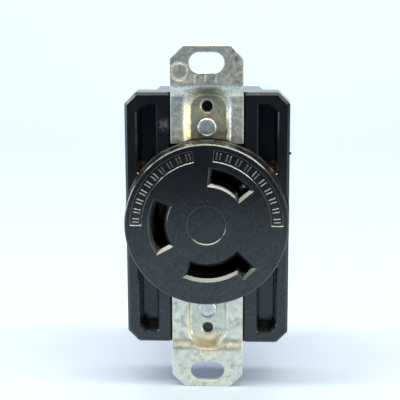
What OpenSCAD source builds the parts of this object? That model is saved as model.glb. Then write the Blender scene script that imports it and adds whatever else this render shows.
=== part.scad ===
// Flush locking receptacle: three poles, three wires, 30 A size, with pressure-plate back wiring.
// Row frame: +X right and +Z up as seen from the front, the blade slots face -Y.
// The origin is the centre of the two mounting slots, on the front plane of the mounting ears.
// Shapes are drawn in the face frame, x right, y up and h towards the viewer; front() turns it into
// the row frame, so h = 0 is the ears' front plane and h is minus the row's Y.

/* [Face] */
// Radius of the round face
face_r = 21.4; // [20:0.1:21.4]
// Height of the face above the ears' front plane
face_h = 4.8; // [4:0.1:6]
// Chamfer round the face's rim
face_chamfer = 0.5; // [0.2:0.1:0.8]
// Thickness of the wall that the blade slots go through
face_wall = 4.6; // [4:0.1:5]
// Inner radius of the blade slots
slot_r_in = 11.1; // [10.9:0.1:11.3]
// Outer radius of the blade slots
slot_r_out = 14.4; // [14.1:0.1:14.4]
// Distance of the end of the third slot's straight leg from the centre
leg_end = 16.4; // [16:0.1:17]
// Width of the third slot's straight leg
leg_w = 2.85; // [2.8:0.05:3.2]
// Chamfer round the mouths of the blade slots
slot_chamfer = 0.9; // [0.5:0.1:1]
// Radius of the round panel sunk at the centre of the face
panel_r = 5.2; // [4:0.1:6]
// Inner radius of the two curved label panels sunk in the face
label_r_in = 16.8; // [16.6:0.1:17]
// Outer radius of the two curved label panels
label_r_out = 20; // [19.5:0.1:20.2]
// Depth of the sunk panels
panel_depth = 0.2; // [0.1:0.05:0.3]

/* [Flange] */
// Width of the front moulding's flange
flange_w = 43.2; // [43:0.1:44]
// Height of the front moulding's flange
flange_l = 67.8; // [66:0.1:68]
// Distance of the flange's front plane behind the ears' front plane
flange_set = 1.25; // [1:0.05:1.4]
// Distance of the flange's rear plane behind the ears' front plane
flange_back = 9; // [8.5:0.1:10]
// Clip across the flange's corners
flange_clip = 3; // [2:0.1:3.5]
// Chamfer round the flange's front edge
flange_chamfer = 0.7; // [0.3:0.1:0.8]
// Depth of the four moulded pockets
pocket_depth = 6; // [4:0.1:6.5]
// Half width of the channels that the ears lie in
channel_half_w = 9.9; // [9.7:0.1:10.2]

/* [Mounting ears] */
// Distance between the centres of the two mounting slots
ear_slot_spacing = 83.34; // [83:0.01:84]
// Distance between the two tapped cover-plate holes
cover_hole_spacing = 60.33; // [60:0.01:61]
// Radius of the tapped cover-plate holes
cover_hole_r = 1.4; // [1.3:0.05:1.5]
// Width of an ear
ear_w = 19; // [18.6:0.1:19.2]
// Distance of an ear's tip from the centre
ear_tip = 46.05; // [45.8:0.05:46.5]
// Clip across an ear's corners
ear_clip = 3.4; // [2.5:0.1:4]
// Thickness of the ear's sheet metal
ear_t = 1.4; // [1.2:0.05:1.5]
// Set-back of the ear's wings behind its tip
wing_set = 1.1; // [0.9:0.05:1.2]
// Set-back of the drawn recess behind the ear's tip
recess_set = 2.6; // [2.4:0.05:2.8]
// Half width of the recess's floor
recess_half_w = 4.5; // [4.2:0.1:4.8]
// Distance of the two rivets from the centre
rivet_y = 24.7; // [24.4:0.1:25]
// Radius of the rivets' front heads
rivet_head_r = 2.45; // [2.2:0.05:2.6]
// Radius of the rivets' shanks
rivet_r = 1.55; // [1.4:0.05:1.55]

/* [Rear moulding] */
// Distance of the rear face behind the ears' front plane
base_back = 29; // [28.5:0.1:32]
// Width of the rear moulding's middle block
base_w = 42.4; // [42.4:0.1:42.8]
// Height of the rear moulding's middle block
base_l = 41; // [40:0.1:42]
// Half width of the two narrow ends, which the rivets go through
end_half_w = 15.1; // [13:0.1:16]
// Distance of the narrow ends' rear face behind the ears' front plane
end_back = 20; // [18:0.1:22]

/* [Contacts] */
// Thickness of the contact strip
strip_t = 0.8; // [0.7:0.05:0.9]
// Gap between the two leaves where they grip a blade
leaf_gap = 1.7; // [1.5:0.05:1.8]
// Thickness of the backing springs
spring_t = 0.5; // [0.4:0.05:0.6]

/* [Terminals] */
// Distance of the upper and lower right terminals from the centre line
terminal_y = 9.3; // [9.2:0.1:9.5]
// Travel of a clamp plate
clamp_travel = 3.2; // [3:0.05:3.3]
// Radius of a terminal screw's shank
screw_r = 2.4; // [2.3:0.01:2.4]
// Radius of a terminal screw's head
screw_head_r = 3.8; // [3.5:0.1:3.9]
// Radius of the wire-entry holes
wire_hole_r = 2.4; // [2.2:0.05:2.5]

/* [Hidden] */
$fn = 64;

// Amount by which a cut runs past the face that it opens
over = 1;

// The three blade slots: start and end angle, anticlockwise from +X as seen from the front
slot_spans = [[40, 84], [155.5, 208.5], [249, 316]];
// Start and end angle of each contact: a blade turns clockwise to lock, so it ends there
contact_spans = [[40, 78], [157, 195], [251, 289]];
// Start and end angle of each backing spring, clear of the contact's tail
spring_spans = [[58, 75], [159, 175], [254, 268]];
// Start and end angle of the two label panels
label_spans = [[-0.5, 84.4], [100.4, 180.5]];

// The bevels at the slots' ends start this much above those along their sides
end_lift = 0.03;

// Chambers round the contacts
chamber_r_in = 9.9;
chamber_r_out = 16;
chamber_hook_r = 18.2;
chamber_margin = 3;
chamber_top = face_h - face_wall;
chamber_bottom = -14.7;

// Four pockets: their nearest and farthest edges from the centre lines
pocket_x = [13.4, 18.3];
pocket_y = [12.8, 30.7];
pocket_clip = 1.8;
pocket_border = 0.4;
pocket_draft = 0.5;
skirt_r = face_r + 0.55;
skirt_slope = 0.6;
pit_half_w = 7.6;

// Ears: the joggle's two lines, the wings' straight inner edge and the arc round the face
joggle_front = 35.25;
joggle_back = 33.3;
wing_end = 20.45;
ear_arc_r = 21.7;
ear_slot_w = 9.06;
ear_slot_h = 5.2;
recess_end = 33.2;
recess_corner_r = 3.3;
recess_slope = 0.9;
rivet_head_h = 1.2;
rivet_hole_r = rivet_r + 0.05;
rivet_tail_r = 2.5;
rivet_tail_h = 1.3;
washer_r = 4;
washer_t = 0.8;
washer_sink = 0.6;
hole_chamfer = 0.3;

// Contact cross-section: leaf centre radii at the root, where it grips, and at its flared mouth
pitch_r = (slot_r_in + slot_r_out) / 2;
grip_in = pitch_r - leaf_gap / 2 - strip_t / 2;
grip_out = pitch_r + leaf_gap / 2 + strip_t / 2;
leaf_spread = 0.35;
leaf_flare = 0.7;
leaf_mouth = -0.6;
leaf_grip = -3.6;
leaf_root = -13;
// The strip to the tail is this much thinner on each side than the bent leaves
strip_inset = 0.05;
spring_gap = 0.04;
spring_mouth = -3.2;

// Terminals, seen from the side that the screw is driven from: x distances on the right-hand side
box_x = [6.7, 15.7];
box_wall_in = 1.4;
box_wall_out = 1.6;
box_wall_side = 1.1;
box_half_w = 4.4;
box_h = [-23.6, -15.6];
tail_x = [8.1, 9.1];
tail_half_w = 2.8;
tail_end = -23;
clamp_t = 1.2;
clamp_half_w = 3.2;
clamp_h = [-23.2, -16.2];
clamp_x = box_x[1] - box_wall_out - clamp_t - 0.1;
cavity_gap = 0.1;
well_r = 4.4;
screw_hole_r = screw_r + 0.04;
screw_head_h = 1.9;
screw_head_x = box_x[1] + clamp_travel + 0.3;
screw_h = (box_h[0] + box_h[1]) / 2;
driver_slot_w = 1.1;
driver_slot_h = 1.2;
wire_x = (tail_x[1] + clamp_x) / 2;
funnel_r = 3.4;
funnel_h = 1.2;
shelf_h = -24;
base_clip = 4;
barrier_w = 1.6;
barrier_h = 1.2;
barrier_inset = 2;
// Where each terminal stands: its side, +1 right or -1 left, and its height
terminals = [[1, terminal_y], [-1, 0], [1, -terminal_y]];

BLACK = [0.10, 0.10, 0.12];
STEEL = [0.72, 0.72, 0.62];
BRONZE = [0.74, 0.52, 0.28];
BRASS = [0.80, 0.66, 0.32];

// ---------------------------------------------------------------- helpers

// Turns the face frame into the row frame
module front() {
    rotate([90, 0, 0]) children();
}

// Right-hand terminal drawn on the +x axis, put where terminal i stands
module at_terminal(i) {
    side = terminals[i][0];
    translate([0, terminals[i][1], 0])
        rotate([0, 0, side > 0 ? 0 : 180])
            children();
}

// Rectangle with its four corners clipped at 45 degrees, drawn e inside its edge
function clipped(w, l, clip, e = 0) =
    let (a = w / 2 - e, b = l / 2 - e, c = clip - e * (2 - sqrt(2)))
    [[a - c, -b], [a, -b + c], [a, b - c], [a - c, b],
     [-a + c, b], [-a, b - c], [-a, -b + c], [-a + c, -b]];

// Outline of the upper right pocket, drawn e inside its edge
function pocket_outline(e) =
    let (c = pocket_clip - e * (2 - sqrt(2)),
         x0 = pocket_x[0] + e, x1 = pocket_x[1] - e,
         y0 = pocket_y[0] + e, y1 = pocket_y[1] - e)
    [[x0, y0], [x1, y0], [x1, y1 - c], [x1 - c, y1], [x0, y1]];

// Outline of the third slot's leg, moved outwards by e, with the slot's end wall along the x axis
function leg_outline(e) = [
    [pitch_r - e, -leg_w - e], [leg_end + e, -leg_w - e], [leg_end + e, e], [pitch_r - e, e]];

// Solid between two outlines with the same number of points, at heights h0 below h1
module taper(lower, upper, h0, h1) {
    n = len(lower);
    polyhedron(
        points = concat([for (p = lower) [p[0], p[1], h0]], [for (p = upper) [p[0], p[1], h1]]),
        faces = concat(
            [[for (i = [0 : n - 1]) i]],
            [[for (i = [0 : n - 1]) 2 * n - 1 - i]],
            [for (i = [0 : n - 1]) [i, i + n, (i + 1) % n + n, (i + 1) % n]]));
}

// Ring sector between two radii, two angles and two heights
module sector(r0, r1, a0, a1, h0, h1) {
    rotate([0, 0, a0])
        rotate_extrude(angle = a1 - a0)
            translate([r0, h0])
                square([r1 - r0, h1 - h0]);
}

// Curved slot with its mouth chamfered all round: h is the face it opens in
module slot_cut(r0, r1, a0, a1, h) {
    c = slot_chamfer + over;
    reach = atan(2 * c / r0);
    bottom = h - face_wall - over;
    mouth = h - slot_chamfer;
    intersection() {
        rotate([0, 0, a0 - reach])
            rotate_extrude(angle = a1 - a0 + 2 * reach)
                polygon([
                    [r0, bottom], [r1, bottom], [r1, mouth], [r1 + c, mouth + c],
                    [r0 - c, mouth + c], [r0, mouth]]);
        rotate([0, 0, a0]) slot_end(bottom - over, mouth + end_lift, c + over);
        rotate([0, 0, a1]) mirror([0, 1, 0]) slot_end(bottom - over, mouth + end_lift, c + over);
    }
}

// Everything past one end wall of a slot on the +x axis: upright to the mouth, then sloped back
module slot_end(bottom, mouth, c) {
    reach = 2 * leg_end;
    rotate([90, 0, 90])
        linear_extrude(reach)
            polygon([[0, bottom], [reach, bottom], [reach, mouth + c], [-c, mouth + c], [0, mouth]]);
}

// Straight leg that runs outwards along the end of the third slot, its mouth chamfered too
module leg_cut(h) {
    c = slot_chamfer + over;
    bottom = h - face_wall - over;
    mouth = h - slot_chamfer + end_lift;
    rotate([0, 0, slot_spans[2][1]]) {
        translate([pitch_r, -leg_w, bottom])
            cube([leg_end - pitch_r, leg_w, mouth - bottom]);
        taper(leg_outline(0), leg_outline(c), mouth, mouth + c);
    }
}

// ---------------------------------------------------------------- front moulding

module face_disc() {
    rotate_extrude()
        polygon([
            [0, -flange_set - 1], [skirt_r, -flange_set - 1], [skirt_r, -flange_set],
            [face_r, -flange_set + skirt_slope], [face_r, face_h - face_chamfer],
            [face_r - face_chamfer, face_h], [0, face_h]]);
}

module flange() {
    translate([0, 0, -flange_back])
        linear_extrude(flange_back - flange_set - flange_chamfer)
            polygon(clipped(flange_w, flange_l, flange_clip));
    taper(
        clipped(flange_w, flange_l, flange_clip),
        clipped(flange_w, flange_l, flange_clip, flange_chamfer),
        -flange_set - flange_chamfer, -flange_set);
}

// One of the four pockets: a chamfered border, then walls with draft down to a flat floor
module pocket() {
    border_h = -flange_set - pocket_border;
    difference() {
        union() {
            taper(
                pocket_outline(0), pocket_outline(-pocket_border - over),
                border_h, -flange_set + over);
            taper(
                pocket_outline(pocket_draft), pocket_outline(0),
                -flange_set - pocket_depth, border_h);
        }
        translate([0, 0, -flange_back])
            cylinder(r = skirt_r, h = flange_back + face_h);
    }
}

module pockets() {
    for (mx = [0, 1], my = [0, 1])
        mirror([mx, 0, 0]) mirror([0, my, 0]) pocket();
}

// Room for one ear: a flat channel, and a deeper pit under the drawn recess
module ear_channel() {
    floor_h = -wing_set - ear_t;
    difference() {
        union() {
            translate([-channel_half_w, 0, floor_h])
                cube([2 * channel_half_w, flange_l, ear_t + wing_set + over]);
            translate([-pit_half_w, 0, -recess_set - ear_t])
                cube([2 * pit_half_w, flange_l, ear_t + over]);
        }
        translate([0, 0, -flange_back])
            cylinder(r = face_r, h = flange_back + face_h);
    }
}

module contact_chambers(h0, h1, margin) {
    for (i = [0 : 2])
        sector(
            chamber_r_in, i == 2 ? chamber_hook_r : chamber_r_out,
            slot_spans[i][0] - margin, slot_spans[i][1] + margin, h0, h1);
}

// The sunk panels of the face: a round one, and two curved ones for labels
module face_panels() {
    floor_h = face_h - panel_depth;
    translate([0, 0, floor_h])
        cylinder(r = panel_r, h = panel_depth + over);
    for (span = label_spans)
        sector(label_r_in, label_r_out, span[0], span[1], floor_h, face_h + over);
}

module rivet_holes(h0, h1) {
    for (side = [-1, 1])
        translate([0, side * rivet_y, h0])
            cylinder(r = rivet_hole_r, h = h1 - h0);
}

module front_body() {
    color(BLACK) front() difference() {
        union() {
            flange();
            intersection() {
                face_disc();
                cube([flange_w, flange_l, 4 * flange_back], center = true);
            }
        }
        for (i = [0 : 2])
            slot_cut(slot_r_in, slot_r_out, slot_spans[i][0], slot_spans[i][1], face_h);
        leg_cut(face_h);
        face_panels();
        contact_chambers(-flange_back - over, chamber_top, chamber_margin);
        pockets();
        for (my = [0, 1]) mirror([0, my, 0]) ear_channel();
        rivet_holes(-flange_back - over, 0);
    }
}

// ---------------------------------------------------------------- rear moulding

// Room for a terminal box, its contact's tail and its screw
module terminal_room(i) {
    at_terminal(i) {
        translate([box_x[0] - cavity_gap, -box_half_w - cavity_gap, shelf_h])
            cube([
                box_x[1] - box_x[0] + 2 * cavity_gap, 2 * (box_half_w + cavity_gap),
                -flange_back + over - shelf_h]);
        translate([box_x[1], 0, screw_h])
            rotate([0, 90, 0])
                cylinder(r = well_r, h = base_w / 2 - box_x[1] + over);
        translate([wire_x, 0, -base_back - over])
            cylinder(r = wire_hole_r, h = base_back + over + shelf_h + over);
        translate([wire_x, 0, -base_back])
            cylinder(r1 = funnel_r, r2 = wire_hole_r, h = funnel_h);
        translate([wire_x, 0, -base_back - over])
            cylinder(r = funnel_r, h = over);
    }
}

// Room for the strip that joins a contact's root to its tail
module strip_room(i) {
    g = cavity_gap;
    strip = tail_strips[i];
    translate([strip[0] - g, strip[1] - g, chamber_bottom])
        cube([
            strip[2] - strip[0] + 2 * g, strip[3] - strip[1] + 2 * g,
            -flange_back + over - chamber_bottom]);
}

// Raised ribs on the rear face that keep the three wires apart
module wire_barriers() {
    half = base_l / 2 - barrier_inset;
    translate([-barrier_w / 2, -half, -base_back - barrier_h])
        cube([barrier_w, 2 * half, barrier_h]);
    translate([0, -barrier_w / 2, -base_back - barrier_h])
        cube([base_w / 2 - barrier_inset, barrier_w, barrier_h]);
}

module rear_base() {
    color(BLACK) front() difference() {
        union() {
            translate([0, 0, -base_back])
                linear_extrude(base_back - flange_back)
                    polygon(clipped(base_w, base_l, base_clip));
            translate([0, 0, -end_back])
                linear_extrude(end_back - flange_back)
                    polygon(clipped(2 * end_half_w, flange_l - 0.4, 1.5));
            wire_barriers();
        }
        contact_chambers(chamber_bottom, -flange_back + over, chamber_margin);
        for (i = [0 : 2]) {
            terminal_room(i);
            strip_room(i);
        }
        rivet_holes(-end_back - over, -flange_back + over);
        for (side = [-1, 1])
            translate([0, side * rivet_y, -end_back - over])
                cylinder(r = washer_r + 0.3, h = over + washer_t + washer_sink);
    }
}

// ---------------------------------------------------------------- mounting ears

// Front side of the drawn recess, or its back side when grown: a channel with a rounded, sloped end
module recess_form(half_w, end_y, corner_r, h0, h1) {
    spread = (h1 - h0) * recess_slope;
    cx = half_w - corner_r;
    cy = end_y - corner_r;
    for (side = [-1, 1])
        translate([side * cx, cy, h0])
            cylinder(r1 = corner_r, r2 = corner_r + spread, h = h1 - h0);
    translate([0, cy, h0])
        rotate([90, 0, 0])
            linear_extrude(cy)
                polygon([
                    [-half_w, 0], [half_w, 0],
                    [half_w + spread, h1 - h0], [-half_w - spread, h1 - h0]]);
    translate([-cx, 0, h0])
        rotate([90, 0, 90])
            linear_extrude(2 * cx)
                polygon([[0, 0], [end_y, 0], [end_y + spread, h1 - h0], [0, h1 - h0]]);
}

// Side section of the joggled plate: tip, slope, wing
module joggled_plate() {
    rotate([90, 0, 90])
        translate([0, 0, -ear_w / 2])
            linear_extrude(ear_w)
                polygon([
                    [ear_tip, 0], [joggle_front, 0], [joggle_back, -wing_set], [wing_end, -wing_set],
                    [wing_end, -wing_set - ear_t], [joggle_back + 0.6, -wing_set - ear_t],
                    [joggle_front + 0.6, -ear_t], [ear_tip, -ear_t]]);
}

module ear_tip_clips() {
    for (side = [-1, 1])
        translate([side * ear_w / 2, ear_tip, 0])
            rotate([0, 0, 45])
                cube([sqrt(2) * ear_clip, sqrt(2) * ear_clip, 4 * ear_t], center = true);
}

module strap() {
    back = recess_set + ear_t;
    grow = 0.6;
    difference() {
        union() {
            joggled_plate();
            recess_form(
                recess_half_w + grow, recess_end + grow, recess_corner_r + grow,
                -back, -ear_t - 0.35);
        }
        recess_form(recess_half_w, recess_end, recess_corner_r, -recess_set, 0);
        ear_tip_clips();
        // Inner edge: straight across the wings, an arc round the face between them
        translate([0, 0, -back - over])
            cylinder(r = ear_arc_r, h = back + 2 * over);
        translate([-ear_w, 0, -back - over])
            cube([2 * ear_w, wing_end, back + 2 * over]);
        // Mounting slot
        for (side = [-1, 1])
            translate([side * (ear_slot_w - ear_slot_h) / 2, ear_slot_spacing / 2, -back])
                cylinder(d = ear_slot_h, h = back + over);
        translate([0, ear_slot_spacing / 2, 0])
            cube([ear_slot_w - ear_slot_h, ear_slot_h, 4 * ear_t], center = true);
        // Tapped cover-plate hole and rivet hole
        translate([0, cover_hole_spacing / 2, -back - over])
            cylinder(r = cover_hole_r, h = back + over);
        translate([0, cover_hole_spacing / 2, -recess_set - hole_chamfer])
            cylinder(r1 = cover_hole_r, r2 = cover_hole_r + hole_chamfer, h = hole_chamfer);
        translate([0, rivet_y, -back - over])
            cylinder(r = rivet_hole_r, h = back + over);
    }
}

module strap_top() {
    color(STEEL) front() strap();
}

module strap_bottom() {
    color(STEEL) front() mirror([0, 1, 0]) strap();
}

// ---------------------------------------------------------------- rivets

module rivet() {
    seat = -recess_set;
    washer_seat = -end_back + washer_sink;
    translate([0, 0, seat])
        cylinder(r = rivet_head_r, h = rivet_head_h - 0.3);
    translate([0, 0, seat + rivet_head_h - 0.3])
        cylinder(r1 = rivet_head_r, r2 = rivet_head_r - 0.3, h = 0.3);
    translate([0, 0, washer_seat])
        cylinder(r = rivet_r, h = seat - washer_seat);
    translate([0, 0, washer_seat - rivet_tail_h])
        cylinder(r1 = rivet_tail_r - 0.8, r2 = rivet_tail_r, h = rivet_tail_h);
}

module rivet_top() {
    color(STEEL) front() translate([0, rivet_y, 0]) rivet();
}

module rivet_bottom() {
    color(STEEL) front() translate([0, -rivet_y, 0]) rivet();
}

module rivet_washers() {
    color(STEEL) front()
        for (side = [-1, 1])
            translate([0, side * rivet_y, -end_back + washer_sink])
                difference() {
                    cylinder(r = washer_r, h = washer_t);
                    translate([0, 0, -over]) cylinder(r = rivet_hole_r, h = washer_t + 2 * over);
                }
}

// ---------------------------------------------------------------- contacts

// Strip that carries each contact's root to its terminal: x and y of its two corners
tail_strips = [
    [tail_x[0], terminal_y - tail_half_w, tail_x[1], terminal_y + tail_half_w],
    [-11.5, -2.5, -tail_x[0], 0.4],
    [1.5, -terminal_y - tail_half_w, tail_x[1], -terminal_y + tail_half_w / 2]
];

// Cross-section of one pair of leaves and their bridge; grow moves its outside out
module leaf_section(grow, t, mouth) {
    root_in = grip_in - leaf_spread - strip_t / 2 - grow;
    root_out = grip_out + leaf_spread + strip_t / 2 + grow;
    in_grip = grip_in - strip_t / 2 - grow;
    out_grip = grip_out + strip_t / 2 + grow;
    flare = leaf_flare * (mouth - leaf_grip) / (leaf_mouth - leaf_grip);
    bottom = leaf_root - strip_t - grow;
    polygon([
        [root_in, bottom], [root_out, bottom], [out_grip, leaf_grip], [out_grip + flare, mouth],
        [out_grip + flare - t, mouth], [out_grip - t, leaf_grip], [root_out - t, bottom + t],
        [root_in + t, bottom + t], [in_grip + t, leaf_grip], [in_grip + t - flare, mouth],
        [in_grip - flare, mouth], [in_grip, leaf_grip]]);
}

module leaves(span, grow, t, mouth) {
    rotate([0, 0, span[0]])
        rotate_extrude(angle = span[1] - span[0])
            leaf_section(grow, t, mouth);
}

module contact(i) {
    strip = tail_strips[i];
    color(BRONZE) front() {
        leaves(contact_spans[i], 0, strip_t, leaf_mouth);
        translate([strip[0], strip[1], leaf_root - strip_t + strip_inset])
            cube([strip[2] - strip[0], strip[3] - strip[1], strip_t - 2 * strip_inset]);
        at_terminal(i)
            translate([tail_x[0], -tail_half_w, tail_end])
                cube([tail_x[1] - tail_x[0], 2 * tail_half_w, leaf_root - 2 * strip_inset - tail_end]);
    }
}

module contact_spring(i) {
    color(STEEL) front()
        leaves(spring_spans[i], spring_gap + spring_t, spring_t, spring_mouth);
}

module contact_a() { contact(0); }
module contact_b() { contact(1); }
module contact_c() { contact(2); }
module contact_spring_a() { contact_spring(0); }
module contact_spring_b() { contact_spring(1); }
module contact_spring_c() { contact_spring(2); }

// ---------------------------------------------------------------- terminals

module terminal_box(i) {
    length = box_h[1] - box_h[0];
    color(BRASS) front() at_terminal(i) difference() {
        translate([box_x[0], -box_half_w, box_h[0]])
            cube([box_x[1] - box_x[0], 2 * box_half_w, length]);
        translate([box_x[0] + box_wall_in, -box_half_w + box_wall_side, box_h[0] - over])
            cube([
                box_x[1] - box_x[0] - box_wall_in - box_wall_out,
                2 * (box_half_w - box_wall_side), length + 2 * over]);
        translate([box_x[1] - box_wall_out - over, 0, screw_h])
            rotate([0, 90, 0])
                cylinder(r = screw_hole_r, h = box_wall_out + 2 * over);
    }
}

module clamp_plate(i) {
    color(STEEL) front() at_terminal(i)
        translate([clamp_x, -clamp_half_w, clamp_h[0]])
            cube([clamp_t, 2 * clamp_half_w, clamp_h[1] - clamp_h[0]]);
}

module terminal_screw(i) {
    tip_x = clamp_x + clamp_t;
    color(BRASS) front() at_terminal(i) difference() {
        translate([0, 0, screw_h])
            rotate([0, 90, 0]) {
                translate([0, 0, tip_x])
                    cylinder(r = screw_r, h = screw_head_x - tip_x);
                translate([0, 0, screw_head_x])
                    cylinder(r = screw_head_r, h = screw_head_h - 0.4);
                translate([0, 0, screw_head_x + screw_head_h - 0.4])
                    cylinder(r1 = screw_head_r, r2 = screw_head_r - 0.4, h = 0.4);
            }
        translate([
            screw_head_x + screw_head_h - driver_slot_h, -screw_head_r - over,
            screw_h - driver_slot_w / 2])
            cube([driver_slot_h + over, 2 * (screw_head_r + over), driver_slot_w]);
    }
}

module terminal_box_a() { terminal_box(0); }
module terminal_box_b() { terminal_box(1); }
module terminal_box_c() { terminal_box(2); }
module clamp_plate_a() { clamp_plate(0); }
module clamp_plate_b() { clamp_plate(1); }
module clamp_plate_c() { clamp_plate(2); }
module terminal_screw_a() { terminal_screw(0); }
module terminal_screw_b() { terminal_screw(1); }
module terminal_screw_c() { terminal_screw(2); }

front_body();
rear_base();
strap_top();
strap_bottom();
rivet_top();
rivet_bottom();
rivet_washers();
contact_a();
contact_b();
contact_c();
contact_spring_a();
contact_spring_b();
contact_spring_c();
terminal_box_a();
terminal_box_b();
terminal_box_c();
clamp_plate_a();
clamp_plate_b();
clamp_plate_c();
terminal_screw_a();
terminal_screw_b();
terminal_screw_c();
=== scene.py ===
import math
from collections import namedtuple

import bmesh
import bpy
import numpy as np
from mathutils import Matrix, Vector, noise
from mathutils.geometry import delaunay_2d_cdt


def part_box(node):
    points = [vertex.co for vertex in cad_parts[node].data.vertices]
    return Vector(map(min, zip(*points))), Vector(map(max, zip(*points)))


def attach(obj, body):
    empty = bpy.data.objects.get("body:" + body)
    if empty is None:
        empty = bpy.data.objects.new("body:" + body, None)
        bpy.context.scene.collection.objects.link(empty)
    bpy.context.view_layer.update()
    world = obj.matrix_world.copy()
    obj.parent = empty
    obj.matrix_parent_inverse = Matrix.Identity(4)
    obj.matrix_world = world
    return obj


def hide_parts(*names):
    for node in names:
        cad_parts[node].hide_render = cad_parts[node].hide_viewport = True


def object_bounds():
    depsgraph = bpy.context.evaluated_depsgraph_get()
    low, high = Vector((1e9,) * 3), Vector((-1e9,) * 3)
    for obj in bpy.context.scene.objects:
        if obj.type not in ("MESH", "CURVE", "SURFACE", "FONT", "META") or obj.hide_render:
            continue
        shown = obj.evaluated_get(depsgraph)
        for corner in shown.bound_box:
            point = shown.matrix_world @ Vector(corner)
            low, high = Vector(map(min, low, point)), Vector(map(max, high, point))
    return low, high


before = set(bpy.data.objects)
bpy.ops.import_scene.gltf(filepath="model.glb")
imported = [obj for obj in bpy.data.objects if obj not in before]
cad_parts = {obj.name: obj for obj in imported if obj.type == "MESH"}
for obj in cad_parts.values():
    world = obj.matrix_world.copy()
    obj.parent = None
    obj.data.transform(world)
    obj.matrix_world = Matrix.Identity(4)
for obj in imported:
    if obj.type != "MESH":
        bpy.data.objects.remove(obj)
CAD_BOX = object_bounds()

# Shapes are drawn in millimetres in the face frame: x right, y up and h towards the viewer, with
# h = 0 on the mounting ears' front plane. to_row() turns a point of it into the row frame, in metres.
MM = 0.001

# How far a cutter reaches past what it cuts, in mm
OVER = 1


def to_row(x, y, h):
    return Vector((x * MM, -h * MM, y * MM))


def cad_box(node):
    """Lowest and highest corners of a CAD node in the face frame, in mm, as (x, y, h) each."""
    low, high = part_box(node)
    return (
        Vector((low.x / MM, low.z / MM, -high.y / MM)),
        Vector((high.x / MM, high.z / MM, -low.y / MM)),
    )


# ------------------------------------------------------------------ sizes, in mm

BODY_LOW, BODY_HIGH = cad_box("front_body")
BASE_LOW, BASE_HIGH = cad_box("rear_base")
EAR_LOW, EAR_HIGH = cad_box("strap_top")
RIVET_LOW, RIVET_HIGH = cad_box("rivet_top")
WASHER_LOW, WASHER_HIGH = cad_box("rivet_washers")

FACE_H = BODY_HIGH.z
FACE_R = 21.4
FACE_EDGE = 0.38
FLANGE_W = 2 * BODY_HIGH.x
FLANGE_L = 2 * BODY_HIGH.y
FLANGE_FRONT = -1.25
FLANGE_REAR = BODY_LOW.z
FLANGE_CLIP = 3
FLANGE_CORNER = 1.1
FLANGE_EDGE = 0.8
NUB_Y = 17.9
SKIRT_R = FACE_R + 0.55
SKIRT_RISE = 0.6

SLOT_R = (11.1, 14.4)
SLOT_SPANS = ((40, 84), (155.5, 208.5), (249, 316))
SLOT_BEVEL = 0.9
SLOT_EASE = 0.16
LEG_END = 16.4
LEG_W = 2.85
CHAMBER_R = (9.9, 16)
CHAMBER_HOOK_R = 18.2
CHAMBER_MARGIN = 3
CHAMBER_TOP = FACE_H - 4.6
CHAMBER_BOTTOM = -14.7

POCKET_X = (13.4, 18.3)
POCKET_Y = (12.8, 30.7)
POCKET_CLIP = 1.8
POCKET_DEPTH = 6
POCKET_BORDER = 0.4
POCKET_DRAFT = 0.5
POCKET_CORNER = 0.25
POCKET_EASE = 0.14

CHANNEL_HALF_W = 9.9
CHANNEL_H = -2.5
CHANNEL_LIP = 0.8
PIT_HALF_W = 7.6
PIT_H = -4.0
PIT_LIP = 0.4
CHANNEL_EASE = 0.25

PANEL_R = 5.2
PANEL_DEPTH = 0.25
LABEL_R = (16.8, 20)
LABEL_SPANS = ((-0.5, 84.4), (100.4, 180.5))
TICK_PAIRS = 10
TICK_SPREAD = 0.17
TICK_REACH = 0.95
TICK_HALF_W = 0.22
TICK_H = 0.2
TICK_CHAMFER = 0.12

EAR_HALF_W = EAR_HIGH.x
EAR_TIP = EAR_HIGH.y
EAR_END = EAR_LOW.y
EAR_T = 1.4
EAR_CLIP = 3.4
EAR_ARC_R = 21.7
EAR_SLOT_Y = 41.67
EAR_SLOT = (9.06, 5.2)
COVER_HOLE_Y = 30.165
COVER_HOLE_R = 1.4
WING_H = -1.1
RECESS_H = EAR_LOW.z + EAR_T
JOGGLE = (33.3, 35.25)
BEND_BLEND = 0.45
RECESS_HALF_W = 4.6
RECESS_END = 33.2
RECESS_CORNER = 3.3
FOOT_BLEND = 0.15
STAMP_DEPTH = 0.15
STAMP_W = 0.22
WAVE_H = 0.05
WAVES_PER_MM = 0.16
HOLE_LIP = (0.25, 0.35)

# Each ear's drawn recess: its middle, how far its flanks run out per mm of depth on the left, on the
# right and at its end, and the blend of its rim
Press = namedtuple("Press", "middle left right end rim")
UPPER_PRESS = Press(middle=0.35, left=1.35, right=0.95, end=0.9, rim=0.5)
LOWER_PRESS = Press(middle=0, left=0.4, right=0.4, end=0.90, rim=0.5)

# Each ear's stamped marks: kind, centre, and a ring's radius or half a bar's length. The ear's mesh is
# finer in the areas (x0, x1, y0, y1) round them
UPPER_MARKS = [("ring", -7.0, 39.4, 2.2)] + [("bar", x, 37.45, 0.75) for x in (-3.0, -0.2, 2.6)]
UPPER_FINE = [(-9.3, -4.4, 36.8, 42), (-4.3, 3.6, 36.2, 38.7)]
LOWER_MARKS = [("bar", x, 37.6, 0.7) for x in (-2.4, -0.8, 0.8, 2.4)]
LOWER_FINE = [(-3.2, 3.2, 36.4, 38.8)]

# Mesh of an ear's sheet: the spacing of the points on its rims and on its face, the gap between the
# two, and the roll of its cut edges, which is less at the rear
RIM_STEP = 0.35
COARSE_STEP = 0.3
FINE_STEP = 0.13
RIM_GAP = 0.17
ROLL_R = 0.2
ROLL_STEPS = 4
REAR_ROLL = 0.4

RIVET_Y = (RIVET_LOW.y + RIVET_HIGH.y) / 2
RIVET_R = 1.55
RIVET_HOLE_R = RIVET_R + 0.05
RIVET_HEAD_R = (RIVET_HIGH.x - RIVET_LOW.x) / 2

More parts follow.
